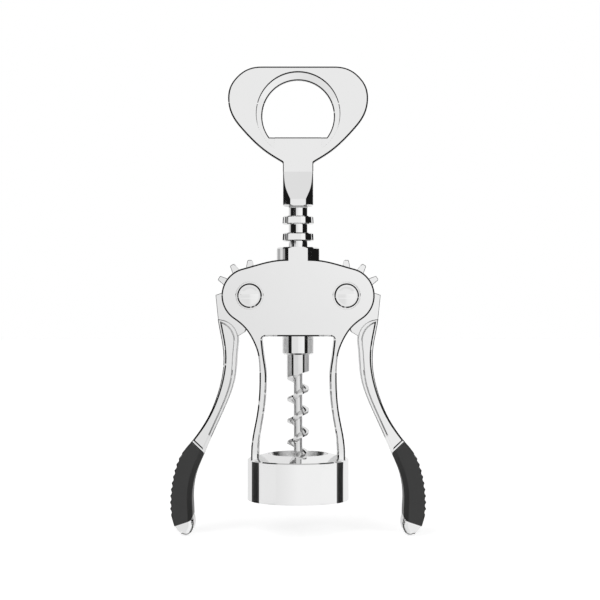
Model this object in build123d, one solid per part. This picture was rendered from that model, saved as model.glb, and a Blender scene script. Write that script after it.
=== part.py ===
from build123d import *
import os
from math import cos, hypot, pi, radians, sin, sqrt

# Wing corkscrew. Two geared levers lift a ringed spindle, and the worm that hangs on it, out of a
# bottle neck. Millimetres. The origin is the centre of the base ring's lower rim, where the bottle
# neck enters; +Z runs up the spindle, the levers lie at +X and -X, and the front faces -Y.
# Every part stands in the place that it has with the levers down.

os.makedirs("parts", exist_ok=True)

# Base ring and its bottle guide
bottle_bore_radius = 15.5      # slips over the finish ring of a wine bottle
guide_wall = 1.65
guide_web = 1.6                # lands on the bottle's mouth
guide_hole_radius = 11.0
guide_fit = 0.05
bottle_depth = 12.0            # from the lower rim to the web
ring_wall = 3.0
ring_edge_height = 16.2        # where the outer wall ends and the conical top begins
ring_rim_height = 18.2         # at the hole
ring_hole_radius = 12.0        # at the rim
ring_throat_radius = 10.9      # below the hole's sloping edge
ring_throat_drop = 2.6         # from the rim
ring_land = 0.8                # flat round the hole
ring_edge_break = 0.35

# Rack and gear sectors
rack_pitch = 6.7
teeth_per_turn = 12
ring_count = 7                 # collars on the spindle
rings_above_pivot = 5          # of them, with the levers down
spindle_ring_radius = 6.28
spindle_ring_gap = 3.45        # between two rings, where a gear tooth fits
spindle_ring_draft = 0.2       # smaller in radius at the top
spindle_ring_break = 0.4
spindle_core_radius = 3.75
pitch_gap = 0.12               # between the spindle's rings and the gears' pitch circle
gear_addendum = 1.4            # tooth height beyond the pitch circle
gear_dedendum = 2.3            # and within it
tooth_tip_width = 1.8
tooth_root_width = 3.2
tooth_round = 0.5
first_tooth_angle = -90        # from straight up, outward positive
tooth_count = 6
gear_thickness = 8.0
gear_edge_break = 0.2
gear_slot_play = 0.3           # each side of the gear
gear_tip_play = 0.7

# Frame, its heights measured from the pivots
frame_front_wall = 1.05        # of the plates in front of the spindle's bore and behind it
pivot_height = 81.3
ear_radius = 11.1
ear_top_angle = 76             # where the ear's arc meets the shoulder line, from +X
ear_foot_angle = -56           # where it meets the flank
shoulder_rise = 14.35          # beside the collar
flank_points = [(1.0, -13.9), (-1.7, -18.6)]  # from the pivot
waist_half_width = 15.25
waist_drop = 32.7
leg_mid_offset = 1.2           # outward from the waist, half way to the foot
leg_thickness = 2.7            # at the waist
foot_thickness = 3.0
foot_depth = 1.6               # let into the ring's top
foot_margin = 0.1              # from the foot's corner to the ring's edge
foot_fit = 0.05
foot_rise = 0.2                # straight part above the ring's rim
window_cover = 0.975           # from the worm hub's top down to the window's top
window_corner = 1.4
window_top_half_width = 14.5
window_bend = (1.1, 9.3)       # inner edge of the leg's upper half, outward and up from the waist
window_side_direction = (-0.15, -1)  # of that edge where it leaves the window's top
collar_wall = 1.95
collar_rise = 19.3
bore_play = 0.27               # round the spindle's rings
frame_edge_break = 0.6

# Pivot pins
pin_radius = 2.5
pin_play = 0.15
pin_head_radius = 4.9
pin_head_rise = 0.6            # of its edge in front of the frame's face
pin_head_break = 0.6
pin_dome_radius = 3.6
pin_dome_height = 0.4
counterbore_radius = 5.35
counterbore_break = 0.2
counterbore_share = 0.52       # of the frame's cheek beside the gear slot
pin_washer_radius = 4.8
pin_washer_share = 0.47        # of the counterbore's depth
pin_tail_share = 0.5           # of it, for the shank beyond the retaining washer

# Drive shaft, hub and worm
drive_radius = 2.2
drive_play = 0.25
drive_socket_depth = 7.6       # in the handle's neck
hub_height = 8.3
hub_edge_break = 0.6
thrust_washer_thickness = 0.6
thrust_play = 0.15
ferrule_radius = 4.5
ferrule_length = 7.8           # on the axis
ferrule_run_out = 15.5         # slant of its lower end where the fin leaves it, degrees
worm_spigot_radius = 2.6
worm_spigot_depth = 3.0
worm_core_radius = 1.75
worm_radius = 4.4
worm_pitch = 8.6
worm_fin_root = 2.7
worm_fin_tip = 0.8
worm_fin_drop = 13.7           # from the hub to the fin's highest place on the +X side
worm_fin_sink = 0.4            # share of the core's radius that the fin's root goes into it
worm_turns = 4
worm_tip_gap = 0.7             # above the bottle's mouth
worm_point_length = 9.0

# Handle
neck_radius = 6.05
neck_bottom_gap = 4.0          # from the spindle's top ring
neck_length = 17.3             # up to the head
neck_edge_break = 0.5
plate_thickness = 4.0
scoop_top = 13.7               # above the neck's bottom
scoop_middle = (3.3, 7.8)      # distance from the axis, and height above the neck's bottom
scoop_bottom = 2.6
scoop_face = 5.22              # distance from the axis of the neck's flat below the scoop
scoop_directions = [(-0.25, 1), (-0.15, 1)]  # at its bottom and top
head_height = 38.4             # above the neck
head_top_half_width = 14.6
head_half_width = 27.95
head_wide_height = 25.9        # of the widest place above the neck
head_flank = [(22.3, 13.2), (14.1, 5.2)]  # half-width, height above the neck
head_corner = (24.8, 33.9)
head_root_direction = (-0.87, -0.5)  # of the flank where it meets the neck
head_neck_fillet = 1.2
head_edge_break = 0.6
eye_radius = 14.3
eye_height = 18.6              # of the opener's hole above the neck
eye_lip_height = 10.1          # of its flat lip above the neck
eye_break = 0.45
lip_tongue = 9.3               # half-width of the flat tongue below the lip
dish_radius = 17.1
dish_rise = 0.8                # of the dish's centre above the hole's
dish_step = 0.5                # sloping wall round it, at its top
dish_fall = 0.25               # from the wall's foot to the hole
dish_tilt = 0.92               # degrees, so that the wall runs out below the lip

# Levers, each outline point measured outward and up from the pivot
arm_depth = 12.6
arm_edge_break = 0.3
panel_rise = 0.6               # of the raised panel on each face of the arm
panel_insets = [(1.2, -0.5), (-0.62, 0.66)]  # outline shifts that set it in from the inner edge and the grip
arm_shoulder = (13.6, 0.25)
arm_shoulder_root = (8.5, 2.1) # where its top edge runs into the gear
arm_outer_top = (12.6, -9.4)
arm_outer = [(10.9, -18.7), (10.35, -25.9), (11.2, -33.1), (13.2, -40.3), (16.2, -47.5)]
arm_inner = [(4.9, -21.1), (6.0, -33.1), (8.2, -40.3), (11.3, -47.5)]
arm_head_side = (4.6, -17.3)   # where its round upper end begins
web_inner = [(0.5, -10.2), (1.9, -14.4), (5.0, -16.3)]
web_end = (9.0, -17.0)         # inside the arm
grip_outer_start = (23.1, -57.9)
grip_inner_start = (18.1, -62.6)
grip_joint_directions = [(0.62, -0.78), (0.42, -1)]  # of the outer and inner edges where arm and grip meet
arm_top_direction = (0.13, 0.99)  # of the arm's outer edge at its top
tip_outer = (26.7, -94.9)
tip_end = (25.4, -95.3)
tip_inner = [(23.1, -94.1), (22.15, -92.0)]
tip_round = 2.2                # along its inner edges

# Grips, and the lever's bar inside them
bar_width = 4.6
bar_depth = 8.6
bar_line = [(18.9, -58.4), (25.7, -70.6), (27.1, -81.5), (25.3, -92.5)]
grip_depth = 15.0
grip_outer = [(27.0, -62.7), (29.9, -70.0), (31.2, -77.3), (31.3, -85.3)]
grip_foot_outer = (29.8, -91.2)
grip_foot_inner = [(23.5, -89.1), (22.6, -87.5)]
grip_foot_direction = (-0.3, -1)  # of the outer edge at the foot
grip_inner = [(21.6, -71.3), (22.85, -80.9)]
grip_bevel = 1.9
grip_edge = 0.9
rib_count = 10
rib_spacing = 2.55
rib_start = 6.8                # along the outer edge from the grip's upper end
rib_radius = 1.5
rib_depth = 0.5

overlap = 1.0                  # how far a cut or a hidden end runs past the surface that it meets

# Worked-out sizes
ring_inner_radius = bottle_bore_radius + guide_wall + guide_fit
ring_radius = ring_inner_radius + ring_wall
flange_bottom = bottle_depth + guide_web
spindle_ring_width = rack_pitch - spindle_ring_gap
gear_pitch_radius = teeth_per_turn * rack_pitch / (2 * pi)
gear_tip_radius = gear_pitch_radius + gear_addendum
gear_root_radius = gear_pitch_radius - gear_dedendum
pivot_x = spindle_ring_radius + pitch_gap + gear_pitch_radius
top_ring_center = pivot_height + (rings_above_pivot - 0.5) * rack_pitch
neck_bottom = top_ring_center + spindle_ring_width / 2 + neck_bottom_gap
neck_top = neck_bottom + neck_length
low_ring_center = top_ring_center - (ring_count - 1) * rack_pitch
hub_top = low_ring_center - rack_pitch + spindle_ring_width / 2
hub_bottom = hub_top - hub_height
spindle_bottom = hub_top + thrust_play + thrust_washer_thickness
spindle_top = neck_bottom - thrust_play - thrust_washer_thickness
bore_radius = spindle_ring_radius + bore_play
frame_depth = 2 * (bore_radius + frame_front_wall)
collar_radius = bore_radius + collar_wall
collar_top = pivot_height + collar_rise
shoulder_height = pivot_height + shoulder_rise
window_top = hub_top - window_cover
waist_height = pivot_height - waist_drop
gear_slot = gear_thickness + 2 * gear_slot_play
counterbore_depth = counterbore_share * (frame_depth - gear_slot) / 2
pin_washer_thickness = pin_washer_share * counterbore_depth
foot_outer = sqrt((ring_radius - foot_margin) ** 2 - (frame_depth / 2) ** 2)
foot_inner = foot_outer - foot_thickness
foot_bottom = ring_edge_height - foot_depth
foot_top = ring_rim_height + foot_rise
socket_top = neck_bottom + drive_socket_depth
worm_fin_top = hub_bottom - worm_fin_drop
worm_tip_height = bottle_depth + worm_tip_gap


def slab(face, depth):
    """A flat outline in x and z, given its depth evenly to the front and back."""
    return extrude(Plane.XZ * face, amount=depth / 2, both=True)


def rod(radius, bottom, top):
    """An upright cylinder on the spindle's axis."""
    return Pos(0, 0, bottom) * Cylinder(radius, top - bottom, align=(Align.CENTER, Align.CENTER, Align.MIN))


def cross_rod(radius, front, back, x=0.0, z=0.0):
    """A cylinder from front to back, between two values of y."""
    return Pos(x, (front + back) / 2, z) * Rot(90, 0, 0) * Cylinder(radius, abs(back - front))


def from_pivot(point):
    return (pivot_x + point[0], pivot_height + point[1])


def both_sides(edges):
    """The face inside half an outline and its mirror image across the spindle."""
    half = Curve() + edges
    return make_face(half + mirror(half, about=Plane.YZ))


def on_front_or_back(shape, depth):
    """The edges of a slab's front and back outlines."""
    edges = shape.edges().filter_by(lambda e: abs(abs(e.center().Y) - depth / 2) < 0.01)
    return edges.filter_by(lambda e: e.bounding_box().size.Y < 0.01)


def base_ring():
    """Turned ring: a wall, and a flange with a conical top that the worm passes through."""
    profile = Polyline(
        (ring_inner_radius, 0),
        (ring_radius, 0),
        (ring_radius, ring_edge_height),
        (ring_hole_radius + ring_land, ring_rim_height),
        (ring_hole_radius, ring_rim_height),
        (ring_throat_radius, ring_rim_height - ring_throat_drop),
        (ring_throat_radius, flange_bottom),
        (ring_inner_radius, flange_bottom),
        close=True,
    )
    ring = revolve(Plane.XZ * make_face(profile), Axis.Z)
    outer = ring.edges().filter_by(GeomType.CIRCLE).filter_by(lambda e: abs(e.radius - ring_radius) < 0.01)
    ring = chamfer(outer.sort_by(Axis.Z)[-1], ring_edge_break)
    pocket = Box(foot_thickness + 2 * foot_fit, frame_depth + 2 * foot_fit, ring_rim_height)
    for side in (-1, 1):
        middle = side * (foot_inner + foot_thickness / 2)
        ring -= Pos(middle, 0, foot_bottom + ring_rim_height / 2) * pocket
    return ring


def bottle_guide():
    """Nylon liner of the base ring: a skirt round the bottle's finish and a web over its mouth."""
    guide = rod(bottle_bore_radius + guide_wall, 0, flange_bottom)
    guide -= rod(bottle_bore_radius, 0, bottle_depth)
    return guide - rod(guide_hole_radius, 0, flange_bottom)


def frame_outline():
    """Shoulders, ears round the pivots, hollow flanks and bowed legs, without the window."""
    def ear(angle):
        return (pivot_x + ear_radius * cos(radians(angle)), pivot_height + ear_radius * sin(radians(angle)))

    def ear_direction(angle):
        return (sin(radians(angle)), -cos(radians(angle)))

    top = Line((0, shoulder_height), (collar_radius / 2, shoulder_height))
    shoulder = Spline(
        top @ 1, ear(ear_top_angle), tangents=[(1, 0), ear_direction(ear_top_angle)]
    )
    arc = ThreePointArc(ear(ear_top_angle), ear(0), ear(ear_foot_angle))
    flank = Spline(
        ear(ear_foot_angle), *[from_pivot(p) for p in flank_points], (waist_half_width, waist_height),
        tangents=[ear_direction(ear_foot_angle), (0, -1)],
    )
    leg_mid = (waist_half_width + leg_mid_offset, (waist_height + foot_top) / 2)
    leg = Spline(flank @ 1, leg_mid, (foot_outer, foot_top), tangents=[(0, -1), (0, -1)])
    foot = Polyline((foot_outer, foot_top), (foot_outer, foot_bottom), (0, foot_bottom))
    return both_sides([top, shoulder, arc, flank, leg, foot])


def window_outline():
    """The opening between the legs."""
    waist_inner = waist_half_width - leg_thickness
    inner_mid = (waist_inner + leg_mid_offset, (waist_height + foot_top) / 2)
    top = Line((0, window_top), (window_top_half_width, window_top))
    upper = Spline(
        top @ 1, (waist_inner + window_bend[0], waist_height + window_bend[1]), (waist_inner, waist_height),
        tangents=[window_side_direction, (0, -1)],
    )
    lower = Spline(upper @ 1, inner_mid, (foot_inner, foot_top), tangents=[(0, -1), (0, -1)])
    foot = Polyline((foot_inner, foot_top), (foot_inner, foot_bottom - overlap), (0, foot_bottom - overlap))
    face = both_sides([top, upper, lower, foot])
    corners = face.vertices().filter_by(lambda v: abs(v.Y - window_top) < 0.01 and abs(v.X) > 1)
    return fillet(corners, window_corner)


def counterbore(side, face):
    """The recess round a pivot pin on the front or back, with its chamfered mouth."""
    surface = face * frame_depth / 2
    recess = cross_rod(
        counterbore_radius, surface - face * counterbore_depth, surface, side * pivot_x, pivot_height
    )
    mouth = Rot(-90 * face, 0, 0) * Cone(
        counterbore_radius, counterbore_radius + counterbore_break, counterbore_break
    )
    return recess + Pos(side * pivot_x, surface - face * counterbore_break / 2, pivot_height) * mouth


def frame():
    """One casting: two plates joined by a column round the bore, a collar and two legs."""
    body = slab(frame_outline() - window_outline(), frame_depth)
    body = chamfer(on_front_or_back(body, frame_depth), frame_edge_break)
    collar = rod(collar_radius, shoulder_height - collar_wall, collar_top)
    collar = chamfer(collar.edges().sort_by(Axis.Z)[-1], frame_edge_break)
    collar &= Pos(0, 0, collar_top) * Box(3 * collar_radius, frame_depth, 3 * collar_radius)
    body += collar
    for side in (-1, 1):
        body -= cross_rod(
            gear_tip_radius + gear_tip_play, -gear_slot / 2, gear_slot / 2, side * pivot_x, pivot_height
        )
        body -= cross_rod(pin_radius, -frame_depth, frame_depth, side * pivot_x, pivot_height)
        for face in (-1, 1):
            body -= counterbore(side, face)
    return body - rod(bore_radius, window_top - overlap, collar_top + overlap)


def gear_tooth(angle):
    """One tooth of a sector, as a flat outline about the pivot, at an angle from straight up."""
    half_tip = tooth_tip_width / 2
    half_root = tooth_root_width / 2
    inside = gear_root_radius - overlap
    profile = Polyline(
        (-half_root, inside), (-half_root, gear_root_radius), (-half_tip, gear_tip_radius),
        (half_tip, gear_tip_radius), (half_root, gear_root_radius), (half_root, inside), close=True,
    )
    tooth = make_face(profile)
    tooth = fillet(tooth.vertices().filter_by(lambda v: abs(v.Y - gear_tip_radius) < 0.01), tooth_round)
    return Rot(0, 0, -angle) * tooth


def gear_sector():
    """Teeth round the pivot and the shoulder that runs down into the arm."""
    sector = Circle(gear_root_radius)
    for tooth in range(tooth_count):
        sector += gear_tooth(first_tooth_angle + tooth * 360 / teeth_per_turn)
    web = make_face(Polyline(
        (0, 0), *web_inner, web_end, arm_outer_top, arm_shoulder, arm_shoulder_root, close=True
    ))
    gear = slab(Pos(pivot_x, pivot_height) * (sector + web), gear_thickness)
    return chamfer(on_front_or_back(gear, gear_thickness), gear_edge_break)


def arm_outline():
    """The thick arm from its round upper end down to the grip."""
    outer_joint, inner_joint = grip_joint_directions
    head_side = from_pivot(arm_head_side)
    head_top = from_pivot(arm_outer_top)
    head = TangentArc(head_side, head_top, tangent=(0, 1))
    inner = Spline(
        head_side, *[from_pivot(p) for p in arm_inner], from_pivot(grip_inner_start),
        tangents=[(0, -1), inner_joint],
    )
    grip_line = Line(inner @ 1, from_pivot(grip_outer_start))
    outer = Spline(
        head_top, *[from_pivot(p) for p in arm_outer], grip_line @ 1,
        tangents=[(-arm_top_direction[0], -arm_top_direction[1]), outer_joint],
    )
    return make_face(Curve() + [head, inner, grip_line, outer])


def panel_outline():
    """The raised panel of the arm: its outline set in from the inner edge and from the grip."""
    panel = arm_outline()
    for shift in panel_insets:
        panel &= Pos(*shift) * arm_outline()
    return panel


def grip_outline():
    """The grip without its ribs."""
    outer_joint, inner_joint = grip_joint_directions
    top = Line(from_pivot(grip_inner_start), from_pivot(grip_outer_start))
    outer = Spline(
        top @ 1, *[from_pivot(p) for p in grip_outer], from_pivot(grip_foot_outer),
        tangents=[outer_joint, grip_foot_direction],
    )
    foot = Polyline(outer @ 1, *[from_pivot(p) for p in grip_foot_inner])
    inner = Spline(
        top @ 0, *[from_pivot(p) for p in grip_inner], foot @ 1, tangents=[inner_joint, (0, -1)]
    )
    return make_face(Curve() + [top, outer, foot, inner])


def tip_outline():
    """The bare end of the lever, which the foot of the grip stands on."""
    side = Line(from_pivot(grip_foot_outer), from_pivot(tip_outer))
    end = ThreePointArc(side @ 1, from_pivot(tip_end), from_pivot(tip_inner[0]))
    rise = Spline(end @ 1, from_pivot(tip_inner[1]), from_pivot(grip_foot_inner[1]))
    seat = Polyline(rise @ 1, from_pivot(grip_foot_inner[0]), side @ 0)
    return make_face(Curve() + [side, end, rise, seat])


def lever_bar():
    """The bar inside the grip, from within the arm to within the tip."""
    line = Spline(*[from_pivot(p) for p in bar_line])
    return slab(trace(line, line_width=bar_width), bar_depth)


def lever():
    """One casting: gear sector, bowed arm, the bar inside the grip and the bare tip."""
    core_depth = arm_depth - 2 * panel_rise
    arm = slab(arm_outline(), core_depth)
    arm = chamfer(on_front_or_back(arm, core_depth), arm_edge_break)
    panel = slab(panel_outline(), arm_depth)
    panel = chamfer(on_front_or_back(panel, arm_depth), panel_rise)
    tip = slab(tip_outline(), arm_depth)
    tip = fillet(on_front_or_back(tip, arm_depth).group_by(lambda e: e.center().X)[0], tip_round)
    whole = gear_sector() + arm + panel + tip + lever_bar()
    return whole - cross_rod(pin_radius + pin_play, -arm_depth, arm_depth, pivot_x, pivot_height)


def grip():
    """Rubber sleeve with a broad bevel towards the spindle and ribs along the outer edge."""
    sleeve = slab(grip_outline(), grip_depth)
    long_edges = on_front_or_back(sleeve, grip_depth).filter_by(lambda e: e.length > rib_count * rib_spacing)
    sleeve = chamfer(long_edges.group_by(lambda e: e.center().X)[0], grip_bevel)
    long_edges = on_front_or_back(sleeve, grip_depth).filter_by(lambda e: e.length > rib_count * rib_spacing)
    sleeve = fillet(long_edges.group_by(lambda e: e.center().X)[-1], grip_edge)
    edge = grip_outline().edges().sort_by(SortBy.LENGTH)[-1]
    for rib in range(rib_count):
        share = (rib_start + rib * rib_spacing) / edge.length
        if (edge @ 0).Y < (edge @ 1).Y:
            share = 1 - share
        along = edge % share
        outward = Vector(abs(along.Y), -along.X if along.Y > 0 else along.X)
        groove = edge @ share + outward * (rib_radius - rib_depth)
        sleeve -= cross_rod(rib_radius, -grip_depth, grip_depth, groove.X, groove.Y)
    return sleeve - lever_bar()


def spindle():
    """Rack sleeve: a hollow core with round collars, which the gears engage from both sides."""
    sleeve = rod(spindle_core_radius, spindle_bottom, spindle_top)
    for ring in range(ring_count):
        bottom = low_ring_center + ring * rack_pitch - spindle_ring_width / 2
        collar = Pos(0, 0, bottom + spindle_ring_width / 2) * Cone(
            spindle_ring_radius, spindle_ring_radius - spindle_ring_draft, spindle_ring_width
        )
        sleeve += chamfer(collar.edges().filter_by(GeomType.CIRCLE), spindle_ring_break)
    return sleeve - rod(drive_radius + drive_play, spindle_bottom, spindle_top)


def thrust_washer(bottom):
    washer = rod(spindle_core_radius, bottom, bottom + thrust_washer_thickness)
    return washer - rod(drive_radius + drive_play, bottom, bottom + thrust_washer_thickness)


def drive_shaft():
    """Rod through the spindle that turns the worm hub with the handle."""
    return rod(drive_radius, hub_bottom + hub_height / 2, socket_top)


def worm_hub():
    """Round boss that ends the spindle, with sockets for the drive shaft and the worm."""
    hub = rod(spindle_ring_radius, hub_bottom, hub_top)
    hub = chamfer(hub.edges().filter_by(GeomType.CIRCLE), hub_edge_break)
    hub -= rod(worm_spigot_radius, hub_bottom, hub_bottom + worm_spigot_depth)
    return hub - rod(drive_radius, hub_bottom + hub_height / 2, hub_top)


def worm_fin():
    """Right-handed fin, tapered from its root to its edge, that runs up into the ferrule."""
    start = worm_fin_top - worm_turns * worm_pitch
    height = (worm_turns + 0.75) * worm_pitch
    path = Helix(pitch=worm_pitch, height=height, radius=worm_core_radius, center=(0, 0, start))
    root = -worm_fin_sink * worm_core_radius
    tip = worm_radius - worm_core_radius
    flank = make_face(Polyline(
        (root, -worm_fin_root / 2), (tip, -worm_fin_tip / 2), (tip, worm_fin_tip / 2), (root, worm_fin_root / 2),
        close=True,
    ))
    start_plane = Plane(origin=path @ 0, x_dir=(1, 0, 0), z_dir=path % 0)
    return sweep(start_plane * flank, path=path, is_frenet=True)


def ferrule():
    """Round shoulder above the worm, ending on the slant where the fin leaves it."""
    reach = 2 * ferrule_radius
    shoulder = rod(ferrule_radius, hub_bottom - ferrule_length - ferrule_radius, hub_bottom)
    below = Pos(0, 0, -reach / 2) * Box(2 * reach, 2 * reach, reach)
    return shoulder - Pos(0, 0, hub_bottom - ferrule_length) * Rot(0, -ferrule_run_out, 0) * below


def worm():
    """Auger worm with the round ferrule that it was turned from and a spigot for the hub."""
    body = rod(worm_core_radius, worm_tip_height, hub_bottom) + worm_fin()
    envelope = make_face(Polyline(
        (0, worm_tip_height), (worm_radius + overlap, worm_tip_height + worm_point_length),
        (worm_radius + overlap, hub_bottom), (0, hub_bottom), close=True,
    ))
    body &= revolve(Plane.XZ * envelope, Axis.Z)
    return body + ferrule() + rod(worm_spigot_radius, hub_bottom, hub_bottom + worm_spigot_depth)


def neck():
    """Round neck, scooped at the front and back to the thickness of the head."""
    flat = plate_thickness / 2
    scoop = Spline(
        (scoop_face, neck_bottom + scoop_bottom), (scoop_middle[0], neck_bottom + scoop_middle[1]),
        (flat, neck_bottom + scoop_top), tangents=scoop_directions,
    )
    rise = Line((0, neck_bottom), (scoop_face, neck_bottom))
    side = Line(rise @ 1, scoop @ 0)
    top = Polyline(scoop @ 1, (flat, neck_top + overlap), (0, neck_top + overlap))
    post = rod(neck_radius, neck_bottom, neck_top + overlap)
    post = chamfer(post.edges().sort_by(Axis.Z)[0], neck_edge_break)
    return post & extrude(Plane.YZ * both_sides([rise, side, scoop, top]), amount=2 * neck_radius, both=True)


def head_outline():
    """Broad rounded head above the neck."""
    def above_neck(point):
        return (point[0], neck_top + point[1])

    top = Line(above_neck((0, head_height)), above_neck((head_top_half_width, head_height)))
    widest = above_neck((head_half_width, head_wide_height))
    corner = Spline(top @ 1, above_neck(head_corner), widest, tangents=[(1, 0), (0, -1)])
    flank = Spline(
        widest, *[above_neck(p) for p in head_flank], above_neck((neck_radius, 0)),
        tangents=[(0, -1), head_root_direction],
    )
    root = neck_bottom + scoop_top
    foot = Polyline(above_neck((neck_radius, 0)), (neck_radius, root), (0, root))
    face = both_sides([top, corner, flank, foot])
    joints = face.vertices().filter_by(lambda v: abs(v.Y - neck_top) < 0.01)
    return fillet(joints, head_neck_fillet)


def eye_outline():
    """The opener's D-shaped hole."""
    lip = neck_top + eye_lip_height
    below = Pos(0, lip - eye_radius) * Rectangle(3 * eye_radius, 2 * eye_radius)
    return Pos(0, neck_top + eye_height) * Circle(eye_radius) - below


def dish(face):
    """The shallow recess round the hole on one face of the head; a tongue below the lip stays flat."""
    surface = plate_thickness / 2
    step_foot = dish_radius - dish_step
    fall = dish_fall * step_foot / (step_foot - eye_radius)
    section = Polyline(
        (0, surface), (dish_radius + dish_step, surface + dish_step), (step_foot, surface - dish_step),
        (0, surface - dish_step - fall), close=True,
    )
    cutter = revolve(Plane.XY * make_face(section), Axis.Y)
    top = Pos(0, surface, dish_radius)
    cutter = top * Rot(dish_tilt, 0, 0) * top.inverse() * cutter
    cutter = Pos(0, 0, neck_top + eye_height + dish_rise) * cutter
    tongue = Pos(0, 0, neck_top) * Box(2 * lip_tongue, 4 * plate_thickness, 2 * eye_lip_height)
    cutter -= tongue
    return cutter if face > 0 else mirror(cutter, about=Plane.XZ)


def eye_edges(plate):
    """The front and back edges of the opener's hole."""
    axis = neck_top + eye_height
    edges = plate.edges().filter_by(lambda e: hypot(e.center().X, e.center().Z - axis) < eye_radius + 0.01)
    return edges.filter_by(lambda e: e.bounding_box().size.X > eye_break)


def handle():
    """Head with the bottle opener, and the neck that takes the drive shaft."""
    plate = slab(head_outline(), plate_thickness)
    plate = chamfer(on_front_or_back(plate, plate_thickness), head_edge_break)
    for face in (-1, 1):
        plate -= dish(face)
    plate -= slab(eye_outline(), 2 * plate_thickness)
    plate = chamfer(eye_edges(plate), eye_break)
    return plate + neck() - rod(drive_radius, neck_bottom, socket_top)


def pivot_pin(side):
    """Pin with a domed head in the front counterbore, through the lever and both plates."""
    x = side * pivot_x
    seat = counterbore_depth - frame_depth / 2
    crown = -frame_depth / 2 - pin_head_rise
    tail = pin_washer_thickness + pin_tail_share * (counterbore_depth - pin_washer_thickness)
    head = cross_rod(pin_head_radius, seat, crown, x, pivot_height)
    head = chamfer(head.edges().sort_by(Axis.Y)[0], pin_head_break)
    dome_radius = (pin_dome_radius ** 2 + pin_dome_height ** 2) / (2 * pin_dome_height)
    dome = Pos(x, crown - pin_dome_height + dome_radius, pivot_height) * Sphere(dome_radius)
    limit = cross_rod(pin_dome_radius, seat, crown - 2 * pin_dome_height, x, pivot_height)
    return head + (dome & limit) + cross_rod(pin_radius, seat, tail - seat, x, pivot_height)


def pin_retainer(side):
    """Push-on washer that holds the pin's tail in the rear counterbore."""
    seat = frame_depth / 2 - counterbore_depth
    washer = cross_rod(pin_washer_radius, seat, seat + pin_washer_thickness, side * pivot_x, pivot_height)
    return washer - cross_rod(pin_radius, seat, frame_depth, side * pivot_x, pivot_height)


def left(shape):
    """The left-hand copy of a right-hand piece."""
    return mirror(shape, about=Plane.YZ)


right_lever = lever()
right_grip = grip()
pieces = {
    "frame": frame(),
    "base_ring": base_ring(),
    "bottle_guide": bottle_guide(),
    "right_pivot_pin": pivot_pin(1),
    "left_pivot_pin": pivot_pin(-1),
    "right_pin_retainer": pin_retainer(1),
    "left_pin_retainer": pin_retainer(-1),
    "right_lever": right_lever,
    "left_lever": left(right_lever),
    "right_grip": right_grip,
    "left_grip": left(right_grip),
    "spindle": spindle(),
    "upper_thrust_washer": thrust_washer(spindle_top),
    "lower_thrust_washer": thrust_washer(spindle_bottom - thrust_washer_thickness),
    "drive_shaft": drive_shaft(),
    "worm_hub": worm_hub(),
    "worm": worm(),
    "handle": handle(),
}
for name, piece in pieces.items():
    export_step(piece, f"parts/{name}.step")
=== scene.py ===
import math

import bpy
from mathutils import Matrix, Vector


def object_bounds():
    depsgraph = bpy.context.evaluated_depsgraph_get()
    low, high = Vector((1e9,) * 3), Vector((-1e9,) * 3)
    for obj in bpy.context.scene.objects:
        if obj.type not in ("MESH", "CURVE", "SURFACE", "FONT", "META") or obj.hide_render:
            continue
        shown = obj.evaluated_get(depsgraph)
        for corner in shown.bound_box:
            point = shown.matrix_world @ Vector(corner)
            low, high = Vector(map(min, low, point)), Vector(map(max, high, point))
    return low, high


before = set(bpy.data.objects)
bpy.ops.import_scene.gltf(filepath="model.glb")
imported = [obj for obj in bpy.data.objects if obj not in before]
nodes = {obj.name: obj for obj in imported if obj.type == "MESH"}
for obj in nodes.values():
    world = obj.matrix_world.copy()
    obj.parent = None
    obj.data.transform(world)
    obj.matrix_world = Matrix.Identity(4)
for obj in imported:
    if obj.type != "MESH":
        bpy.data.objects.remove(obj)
cad_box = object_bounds()

# ---------------------------------------------------------------- values
# Lengths are metres, the lens and the sensor millimetres. A blend is the width of a soft step.

CAMERA_AT = (0.00076, -0.600, 0.0796)
LENS = 90.0
SENSOR = 36.0
CLIP_START = 0.01
CLIP_END = 20.0

FLOOR_DROP = 0.0004            # of the floor below the lowest point
FLOOR_SIZE = 6.0
FLOOR_GLOW = 0.56              # towards the camera only, which keeps the shadow

# Base ring: mirror-bright outside, satin in its hole
RING_HOLE = 0.0123             # radius
RING_HOLE_BLEND = 0.0003
RING_HOLE_ROUGHNESS = (0.22, 0.30)

# Castings: mirror-bright faces, satin flanks. A slope is a unit normal's share along y, in size.
FLANK_SLOPE = 0.12             # the most that a flank has
FLANK_BLEND = 0.05
FLANK_ROUGHNESS = (0.40, 0.48)
BREAK_SLOPE = (0.655, 0.735)   # of a 45 degree edge break
BREAK_BLEND = 0.004

# Where a break is worn: its normal's share along z, from and to
UPRIGHT_BREAK = (-0.12, -0.015)
UPRIGHT_HEAD_BREAK = (-0.22, -0.12)
UPRIGHT_BLEND = 0.01
DOWNWARD_BREAK = -0.24         # below this it faces down
DOWNWARD_BLEND = 0.02

# What a worn break's normal keeps of its share along y
STEEPER = 0.70
LEVER_STEEPER = 0.78
FLATTER = 1.12

# The opener's eye in the head, and the dish round it
EYE_HEIGHT = 0.1534            # between the axes of the eye and of the dish
DISH_EDGE = (0.0162, 0.0183)   # radii between which the dish's edge lies
DISH_BLEND = 0.0002

NOISE_RANGE = (0.3, 0.7)       # that a noise's values keep to, nearly all of them

# ---------------------------------------------------------------- node helpers


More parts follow.
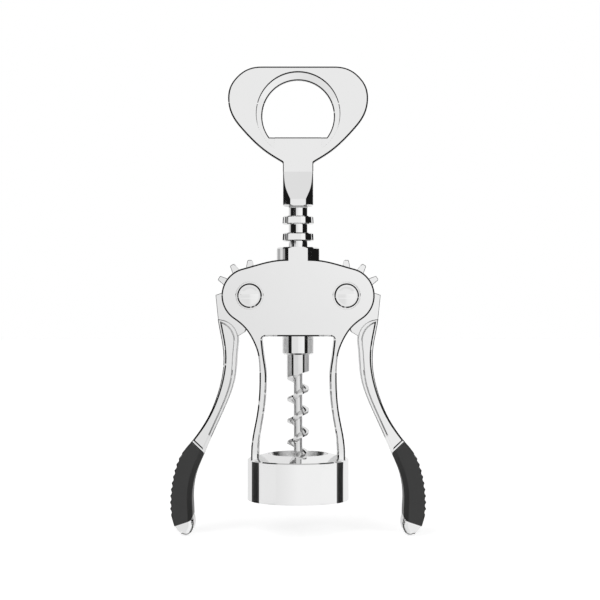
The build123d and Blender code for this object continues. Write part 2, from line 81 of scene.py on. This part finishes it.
class Graph:
    """Short names for the shader nodes that the materials and the world are built from."""

    def __init__(self, tree):
        self.tree = tree
        tree.nodes.clear()

    def node(self, kind, **settings):
        made = self.tree.nodes.new(kind)
        for name, value in settings.items():
            setattr(made, name, value)
        return made

    def put(self, socket, value):
        """Link another node's socket, or set a plain value."""
        if isinstance(value, bpy.types.NodeSocket):
            self.tree.links.new(value, socket)
        elif value is not None:
            socket.default_value = value

    def coordinates(self, kind):
        return self.node("ShaderNodeTexCoord").outputs[kind]

    def separate(self, vector):
        made = self.node("ShaderNodeSeparateXYZ")
        self.put(made.inputs[0], vector)
        return made.outputs

    def math(self, operation, a, b=None):
        made = self.node("ShaderNodeMath", operation=operation)
        for socket, value in zip(made.inputs, (a, b)):
            self.put(socket, value)
        return made.outputs[0]

    def distance(self, a, b):
        squares = [self.math("MULTIPLY", side, side) for side in (a, b)]
        return self.math("SQRT", self.math("ADD", *squares))

    def step(self, value, at, blend):
        """0 below a value and 1 above it, with a soft step."""
        made = self.node("ShaderNodeMapRange", interpolation_type="SMOOTHSTEP")
        self.put(made.inputs["Value"], value)
        made.inputs["From Min"].default_value = at - blend / 2
        made.inputs["From Max"].default_value = at + blend / 2
        return made.outputs["Result"]

    def band(self, value, low, high, blend):
        """1 where a value lies between low and high, with soft steps."""
        rise = self.step(value, low, blend)
        fall = self.step(value, high, blend)
        return self.math("SUBTRACT", rise, fall)

    def ramp(self, value, start, end, low, high):
        """A straight change from low to high between start and end."""
        made = self.node("ShaderNodeMapRange")
        self.put(made.inputs["Value"], value)
        names = ("From Min", "From Max", "To Min", "To Max")
        for name, number in zip(names, (start, end, low, high)):
            made.inputs[name].default_value = number
        return made.outputs["Result"]

    def spread(self, noise, low, high):
        """A noise's usual range stretched to a range of levels."""
        return self.ramp(noise, *NOISE_RANGE, low, high)

    def mix(self, share, a, b):
        made = self.node("ShaderNodeMix", data_type="FLOAT")
        for socket, value in zip((made.inputs[0], made.inputs[2], made.inputs[3]), (share, a, b)):
            self.put(socket, value)
        return made.outputs[0]

    def mix_grey(self, share, dark, light):
        made = self.node("ShaderNodeMix", data_type="RGBA")
        self.put(made.inputs[0], share)
        self.put(made.inputs[6], grey(dark))
        self.put(made.inputs[7], grey(light))
        return made.outputs[2]

    def noise(self, scale, detail=3.0, stretch=None):
        """Fine procedural variation over the piece's own surface, 0 to 1."""
        place = self.coordinates("Object")
        if stretch:
            scaled = self.node("ShaderNodeMapping")
            scaled.inputs["Scale"].default_value = stretch
            self.put(scaled.inputs["Vector"], place)
            place = scaled.outputs[0]
        made = self.node("ShaderNodeTexNoise")
        self.put(made.inputs["Vector"], place)
        made.inputs["Scale"].default_value = scale
        made.inputs["Detail"].default_value = detail
        return made.outputs["Fac"]

    def worn_edges(self, upright, steeper, has_eye=False):
        """The surface's normal, with a casting's edge breaks worn steeper where they stand nearly
        upright. Round the opener's eye all of them are, but for those that face down, which are
        worn flatter, and the dish's edge isn't worn."""
        x, y, z = self.separate(self.coordinates("Normal"))
        kept = self.mix(self.band(z, *upright, UPRIGHT_BLEND), 1.0, steeper)
        if has_eye:
            beside, _, above = self.separate(self.coordinates("Object"))
            from_eye = self.distance(beside, self.math("SUBTRACT", above, EYE_HEIGHT))
            faces_up = self.step(z, DOWNWARD_BREAK, DOWNWARD_BLEND)
            kept_at_eye = self.mix(faces_up, FLATTER, steeper)
            kept = self.mix(self.step(from_eye, DISH_EDGE[1], DISH_BLEND), 1.0, kept)
            kept = self.mix(self.step(from_eye, DISH_EDGE[0], DISH_BLEND), kept_at_eye, kept)
        is_break = self.band(self.math("ABSOLUTE", y), *BREAK_SLOPE, BREAK_BLEND)
        kept = self.mix(is_break, 1.0, kept)
        joined = self.node("ShaderNodeCombineXYZ")
        for socket, value in zip(joined.inputs, (x, self.math("MULTIPLY", y, kept), z)):
            self.put(socket, value)
        turned = self.node(
            "ShaderNodeVectorTransform",
            vector_type="NORMAL", convert_from="OBJECT", convert_to="WORLD",
        )
        self.put(turned.inputs[0], joined.outputs[0])
        return turned.outputs[0]


def grey(level):
    return (level, level, level, 1.0)


# ---------------------------------------------------------------- materials


def material(name):
    """A new material, its graph, its shader and the input that the surface goes into."""
    made = bpy.data.materials.new(name)
    made.use_nodes = True
    graph = Graph(made.node_tree)
    shader = graph.node("ShaderNodeBsdfPrincipled")
    surface = graph.node("ShaderNodeOutputMaterial").inputs["Surface"]
    graph.put(surface, shader.outputs[0])
    return made, graph, shader, surface


def metal(name, levels, roughness, scale, stretch=None, edges=(), satin_bore=None):
    """Polished metal with a faint cloudiness in its colour and its polish. With edges it is a
    casting's, and satin_bore is the radius of a hole that is only satin."""
    made, graph, shader, _ = material(name)
    cloud = graph.noise(scale, stretch=stretch)
    graph.put(shader.inputs["Base Color"], graph.mix_grey(cloud, *levels))
    polish = graph.spread(cloud, *roughness)
    if satin_bore:
        x, y, _ = graph.separate(graph.coordinates("Object"))
        outside = graph.step(graph.distance(x, y), satin_bore, RING_HOLE_BLEND)
        polish = graph.mix(outside, graph.spread(cloud, *RING_HOLE_ROUGHNESS), polish)
    if edges:
        slope = graph.math("ABSOLUTE", graph.separate(graph.coordinates("Normal"))[1])
        off_flank = graph.step(slope, FLANK_SLOPE, FLANK_BLEND)
        polish = graph.mix(off_flank, graph.spread(cloud, *FLANK_ROUGHNESS), polish)
        graph.put(shader.inputs["Normal"], graph.worn_edges(*edges))
    graph.put(shader.inputs["Roughness"], polish)
    shader.inputs["Metallic"].default_value = 1.0
    return made


def grained_rubber():
    """Dark soft-touch rubber with a fine grain."""
    made, graph, shader, _ = material("rubber")
    cloud = graph.noise(scale=140.0, detail=4.0)
    grain = graph.noise(scale=5200.0, detail=2.0)
    graph.put(shader.inputs["Base Color"], graph.mix_grey(cloud, dark=0.019, light=0.025))
    graph.put(shader.inputs["Roughness"], graph.spread(grain, low=0.38, high=0.46))
    shader.inputs["Specular IOR Level"].default_value = 0.5
    bump = graph.node("ShaderNodeBump")
    bump.inputs["Strength"].default_value = 0.25
    bump.inputs["Distance"].default_value = 0.00004
    graph.put(bump.inputs["Height"], grain)
    graph.put(shader.inputs["Normal"], bump.outputs["Normal"])
    return made


def moulded_nylon():
    """Pale moulded nylon."""
    made, graph, shader, _ = material("nylon")
    cloud = graph.noise(scale=220.0, detail=4.0)
    graph.put(shader.inputs["Base Color"], graph.mix_grey(cloud, dark=0.60, light=0.70))
    graph.put(shader.inputs["Roughness"], graph.spread(cloud, low=0.38, high=0.5))
    shader.inputs["Subsurface Weight"].default_value = 0.1
    shader.inputs["Subsurface Radius"].default_value = (1.0, 1.0, 1.0)
    shader.inputs["Subsurface Scale"].default_value = 0.001
    return made


def floor_paper():
    """White paper that the camera sees a little brighter than the light on it makes it."""
    made, graph, shader, surface = material("floor_paper")
    cloud = graph.noise(scale=9.0)
    graph.put(shader.inputs["Base Color"], graph.mix_grey(cloud, dark=0.93, light=0.95))
    shader.inputs["Roughness"].default_value = 0.9
    shader.inputs["Specular IOR Level"].default_value = 0.0
    is_camera_ray = graph.node("ShaderNodeLightPath").outputs["Is Camera Ray"]
    glow = graph.node("ShaderNodeEmission")
    graph.put(glow.inputs["Color"], grey(1.0))
    graph.put(glow.inputs["Strength"], graph.math("MULTIPLY", is_camera_ray, FLOOR_GLOW))
    both = graph.node("ShaderNodeAddShader")
    graph.put(both.inputs[0], shader.outputs[0])
    graph.put(both.inputs[1], glow.outputs[0])
    graph.put(surface, both.outputs[0])
    return made


PLATING = {"levels": (0.93, 0.955), "roughness": (0.012, 0.03), "scale": 60.0}
chrome = metal("chrome", **PLATING, edges=(UPRIGHT_BREAK, STEEPER))
lever_chrome = metal("lever_chrome", **PLATING, edges=(UPRIGHT_BREAK, LEVER_STEEPER))
head_chrome = metal("head_chrome", **PLATING, edges=(UPRIGHT_HEAD_BREAK, STEEPER, True))
ring_chrome = metal("ring_chrome", **PLATING, satin_bore=RING_HOLE)
turned_chrome = metal(
    "turned_chrome",
    levels=(0.92, 0.95), roughness=(0.015, 0.035), scale=240.0, stretch=(0.15, 0.15, 3.0),
)
shaft_steel = metal(
    "shaft_steel",
    levels=(0.62, 0.70), roughness=(0.16, 0.24), scale=300.0, stretch=(0.2, 0.2, 3.0),
)
worm_steel = metal("worm_steel", levels=(0.78, 0.86), roughness=(0.03, 0.06), scale=260.0)
rubber = grained_rubber()
nylon = moulded_nylon()

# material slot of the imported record, finish, nodes
finishes = [
    ("cast_chrome", chrome, ["frame"]),
    ("cast_chrome", lever_chrome, ["right_lever", "left_lever"]),
    ("cast_chrome", head_chrome, ["handle"]),
    ("turned_chrome", ring_chrome, ["base_ring"]),
    ("turned_chrome", turned_chrome, ["spindle", "worm_hub", "right_pivot_pin", "left_pivot_pin"]),
    ("turned_chrome", shaft_steel, ["right_pin_retainer", "left_pin_retainer"]),
    ("worm_steel", worm_steel, ["worm"]),
    ("shaft_steel", shaft_steel, ["drive_shaft"]),
    ("grip_rubber", rubber, ["right_grip", "left_grip"]),
    ("guide_nylon", nylon, ["bottle_guide", "upper_thrust_washer", "lower_thrust_washer"]),
]
for slot, finish, names in finishes:
    for name in names:
        nodes[name].data.materials.clear()
        nodes[name].data.materials.append(finish)

# ---------------------------------------------------------------- floor

lowest = cad_box[0].z - FLOOR_DROP
bpy.ops.mesh.primitive_plane_add(size=FLOOR_SIZE, location=(0, 0, lowest))
floor = bpy.context.active_object
floor.name = "floor"
floor.visible_glossy = False
floor.data.materials.append(floor_paper())

# ---------------------------------------------------------------- studio
# What polished metal mirrors: a white tent with black flags and grey cards at its sides. The
# angle is measured from the front of the tent (-Y), and the height of a direction says which
# flags and cards it meets. Both are in degrees. East is the direction's share along x.

HALF_TURN = 180.0
CARD_BLEND = 3.0               # over an upright edge of a card
TIER_BLEND = 0.12              # and over a level edge
BLACK = 0.010

# cards: angle from, to, level
FLAG = [(52.0, 124.0, BLACK)]
WIDE_FLAG = [(64.0, 76.0, 0.50), (79.0, 118.0, BLACK)]
LOW_FLAG = [(78.0, 98.0, BLACK)]
HIGH_FLAG = [(82.0, 124.0, BLACK)]
CEILING = [(20.0, 66.0, 0.77), (66.0, 82.0, 0.50), (82.0, 124.0, BLACK)]
RING_LEFT = [(52.0, 102.5, 0.84), (102.5, 130.0, BLACK)]
RING_RIGHT = [(52.0, 98.7, 0.93), (98.7, 124.0, BLACK)]
HUB_LEFT = [
    (48.0, 80.0, BLACK), (80.0, 86.0, 0.34), (86.0, 96.0, BLACK), (96.0, 104.0, 0.34),
    (104.0, 116.0, BLACK),
]
HUB_RIGHT = [
    (48.0, 96.0, BLACK), (96.0, 104.0, 0.16), (104.0, 116.0, BLACK), (116.0, 140.0, 0.16),
]
COLLAR_LEFT = [(50.0, 76.0, BLACK), (76.0, 92.0, 0.36), (92.0, 114.0, 0.74), (114.0, 150.0, 0.42)]
COLLAR_RIGHT = [(51.0, 160.0, BLACK)]
SPINDLE_LEFT = [(25.0, 104.0, BLACK), (104.0, 124.0, 0.55)]
SPINDLE_RIGHT = [(56.0, 150.0, BLACK)]
NECK = [(58.0, 160.0, BLACK)]
HEAD_LEFT = [(77.0, 86.0, 0.50), (86.0, 96.0, BLACK), (96.0, 104.0, 0.50), (104.0, 116.0, BLACK)]
HEAD_RIGHT = [(24.0, 56.0, 0.96), (56.0, 118.0, BLACK)]

# height from, cards on the left, cards on the right; cards named after a piece are what it
# mirrors when it is seen from the front
TIERS = [
    (-90.0, LOW_FLAG, LOW_FLAG),
    (-45.0, WIDE_FLAG, WIDE_FLAG),
    (-10.5, FLAG, FLAG),
    (-7.85, RING_LEFT, RING_RIGHT),
    (-6.05, FLAG, FLAG),
    (-3.2, HUB_LEFT, HUB_RIGHT),
    (-1.2, WIDE_FLAG, WIDE_FLAG),
    (1.2, COLLAR_LEFT, COLLAR_RIGHT),
    (2.15, SPINDLE_LEFT, SPINDLE_RIGHT),
    (3.6, NECK, NECK),
    (5.6, HEAD_LEFT, HEAD_RIGHT),
    (12.5, CEILING, CEILING),
    (70.0, HIGH_FLAG, HIGH_FLAG),
]

# The tent's bare walls, which the flat faces mirror. A rise is: from, to, level there, level here.
FRONT_WALL = 0.845
CENTRE_RISE = (-0.06, 0.06, -0.045, 0.045)  # added to the front wall, over east
RIGHT_RISE = (0.06, 0.55, 0.0, 0.05)
UPWARD_RISE = (-1.0, 1.5, -0.012, 0.012)    # and over height
LOW_WALL_RISE = (-0.75, 0.0, 0.817, 0.917)  # the low wall itself, over east
LOW_WALL = (-7.95, -5.9, 0.3)               # height from, to, blend
HIGH_WALL = 0.862
HIGH_WALL_START = (4.5, 0.5)                # height, blend
REAR_LEFT = 0.80
REAR_RIGHT = 0.89
REAR_START = (112.0 / HALF_TURN, 8.0 / HALF_TURN)  # angle in half turns, blend

DIFFUSE_LEAST = 0.1            # what the flags leave of the light on surfaces that don't mirror

LAMP_AIM = (0, 0, 0.07)
LAMP_SIZE = 0.8

world = bpy.data.worlds.new("studio")
world.use_nodes = True
bpy.context.scene.world = world
graph = Graph(world.node_tree)
east, north, up = graph.separate(graph.coordinates("Generated"))
from_front = graph.math("ARCCOSINE", graph.math("MULTIPLY", north, -1.0))
half_turn = graph.math("DIVIDE", from_front, math.pi)
height = graph.math("DEGREES", graph.math("ARCSINE", up))
is_right = graph.math("GREATER_THAN", east, 0.0)

low_wall = graph.ramp(east, *LOW_WALL_RISE)
wall = graph.math("ADD", FRONT_WALL, graph.ramp(east, *CENTRE_RISE))
wall = graph.math("ADD", wall, graph.ramp(east, *RIGHT_RISE))
wall = graph.math("ADD", wall, graph.ramp(height, *UPWARD_RISE))
wall = graph.mix(graph.band(height, *LOW_WALL), wall, low_wall)
wall = graph.mix(graph.step(height, *HIGH_WALL_START), wall, HIGH_WALL)
rear_wall = graph.mix(is_right, REAR_LEFT, REAR_RIGHT)
wall = graph.mix(graph.step(half_turn, *REAR_START), wall, rear_wall)


def hang(cards):
    """The wall's level with flags and cards in front of it, by the angle from the front."""
    stops = []
    for index, (near, far, shade) in enumerate(cards):
        follows = index > 0 and cards[index - 1][1] == near
        leads = index + 1 < len(cards) and cards[index + 1][0] == far
        if not follows:
            stops.append((near - CARD_BLEND / 2, shade, 0.0))
        stops.append((near + CARD_BLEND / 2, shade, 1.0))
        stops.append((far - CARD_BLEND / 2, shade, 1.0))
        if not leads:
            stops.append((far + CARD_BLEND / 2, shade, 0.0))
    made = graph.node("ShaderNodeValToRGB")
    graph.put(made.inputs[0], half_turn)
    elements = made.color_ramp.elements
    while len(elements) < len(stops):
        elements.new(0.5)
    for element, (angle, shade, cover) in zip(elements, stops):
        element.position = angle / HALF_TURN
        element.color = (shade, shade, shade, cover)
    return graph.mix(made.outputs["Alpha"], wall, made.outputs["Color"])


def tent_side(tiers):
    """The level seen on one side of the tent, tier over tier from the floor up."""
    level = None
    for start, cards in tiers:
        this = hang(cards)
        if level is None:
            level = this
        else:
            level = graph.mix(graph.step(height, start, TIER_BLEND), level, this)
    return level


left_side = tent_side([(start, left) for start, left, _ in TIERS])
right_side = tent_side([(start, right) for start, _, right in TIERS])
level = graph.mix(is_right, left_side, right_side)

rays = graph.node("ShaderNodeLightPath").outputs
mirrored = graph.math("MAXIMUM", rays["Is Glossy Ray"], rays["Is Transmission Ray"])
scaled = graph.math("MULTIPLY", level, 1.0 - DIFFUSE_LEAST)
seen = graph.mix(mirrored, graph.math("ADD", DIFFUSE_LEAST, scaled), level)
seen = graph.mix(rays["Is Camera Ray"], seen, 1.0)
background = graph.node("ShaderNodeBackground")
graph.put(background.inputs["Color"], grey(1.0))
graph.put(background.inputs["Strength"], seen)
output = graph.node("ShaderNodeOutputWorld")
graph.put(output.inputs["Surface"], background.outputs[0])


def lamp(name, at, power):
    data = bpy.data.lights.new(name, "AREA")
    data.shape = "DISK"
    data.size = LAMP_SIZE
    data.energy = power
    made = bpy.data.objects.new(name, data)
    bpy.context.scene.collection.objects.link(made)
    made.location = at
    turn = Vector(LAMP_AIM) - Vector(at)
    made.rotation_euler = turn.to_track_quat("-Z", "Y").to_euler()
    made.visible_glossy = False


lamp("key", at=(-0.45, -0.9, 0.8), power=2.6)
lamp("fill", at=(0.5, -0.9, 0.5), power=1.2)

# ---------------------------------------------------------------- camera

camera_data = bpy.data.cameras.new("camera")
camera_data.lens = LENS
camera_data.sensor_width = SENSOR
camera_data.clip_start = CLIP_START
camera_data.clip_end = CLIP_END
camera = bpy.data.objects.new("camera", camera_data)
camera.location = CAMERA_AT
camera.rotation_euler = (math.radians(90), 0, 0)
bpy.context.scene.collection.objects.link(camera)
bpy.context.scene.camera = camera

bpy.context.scene.view_settings.view_transform = "Standard"
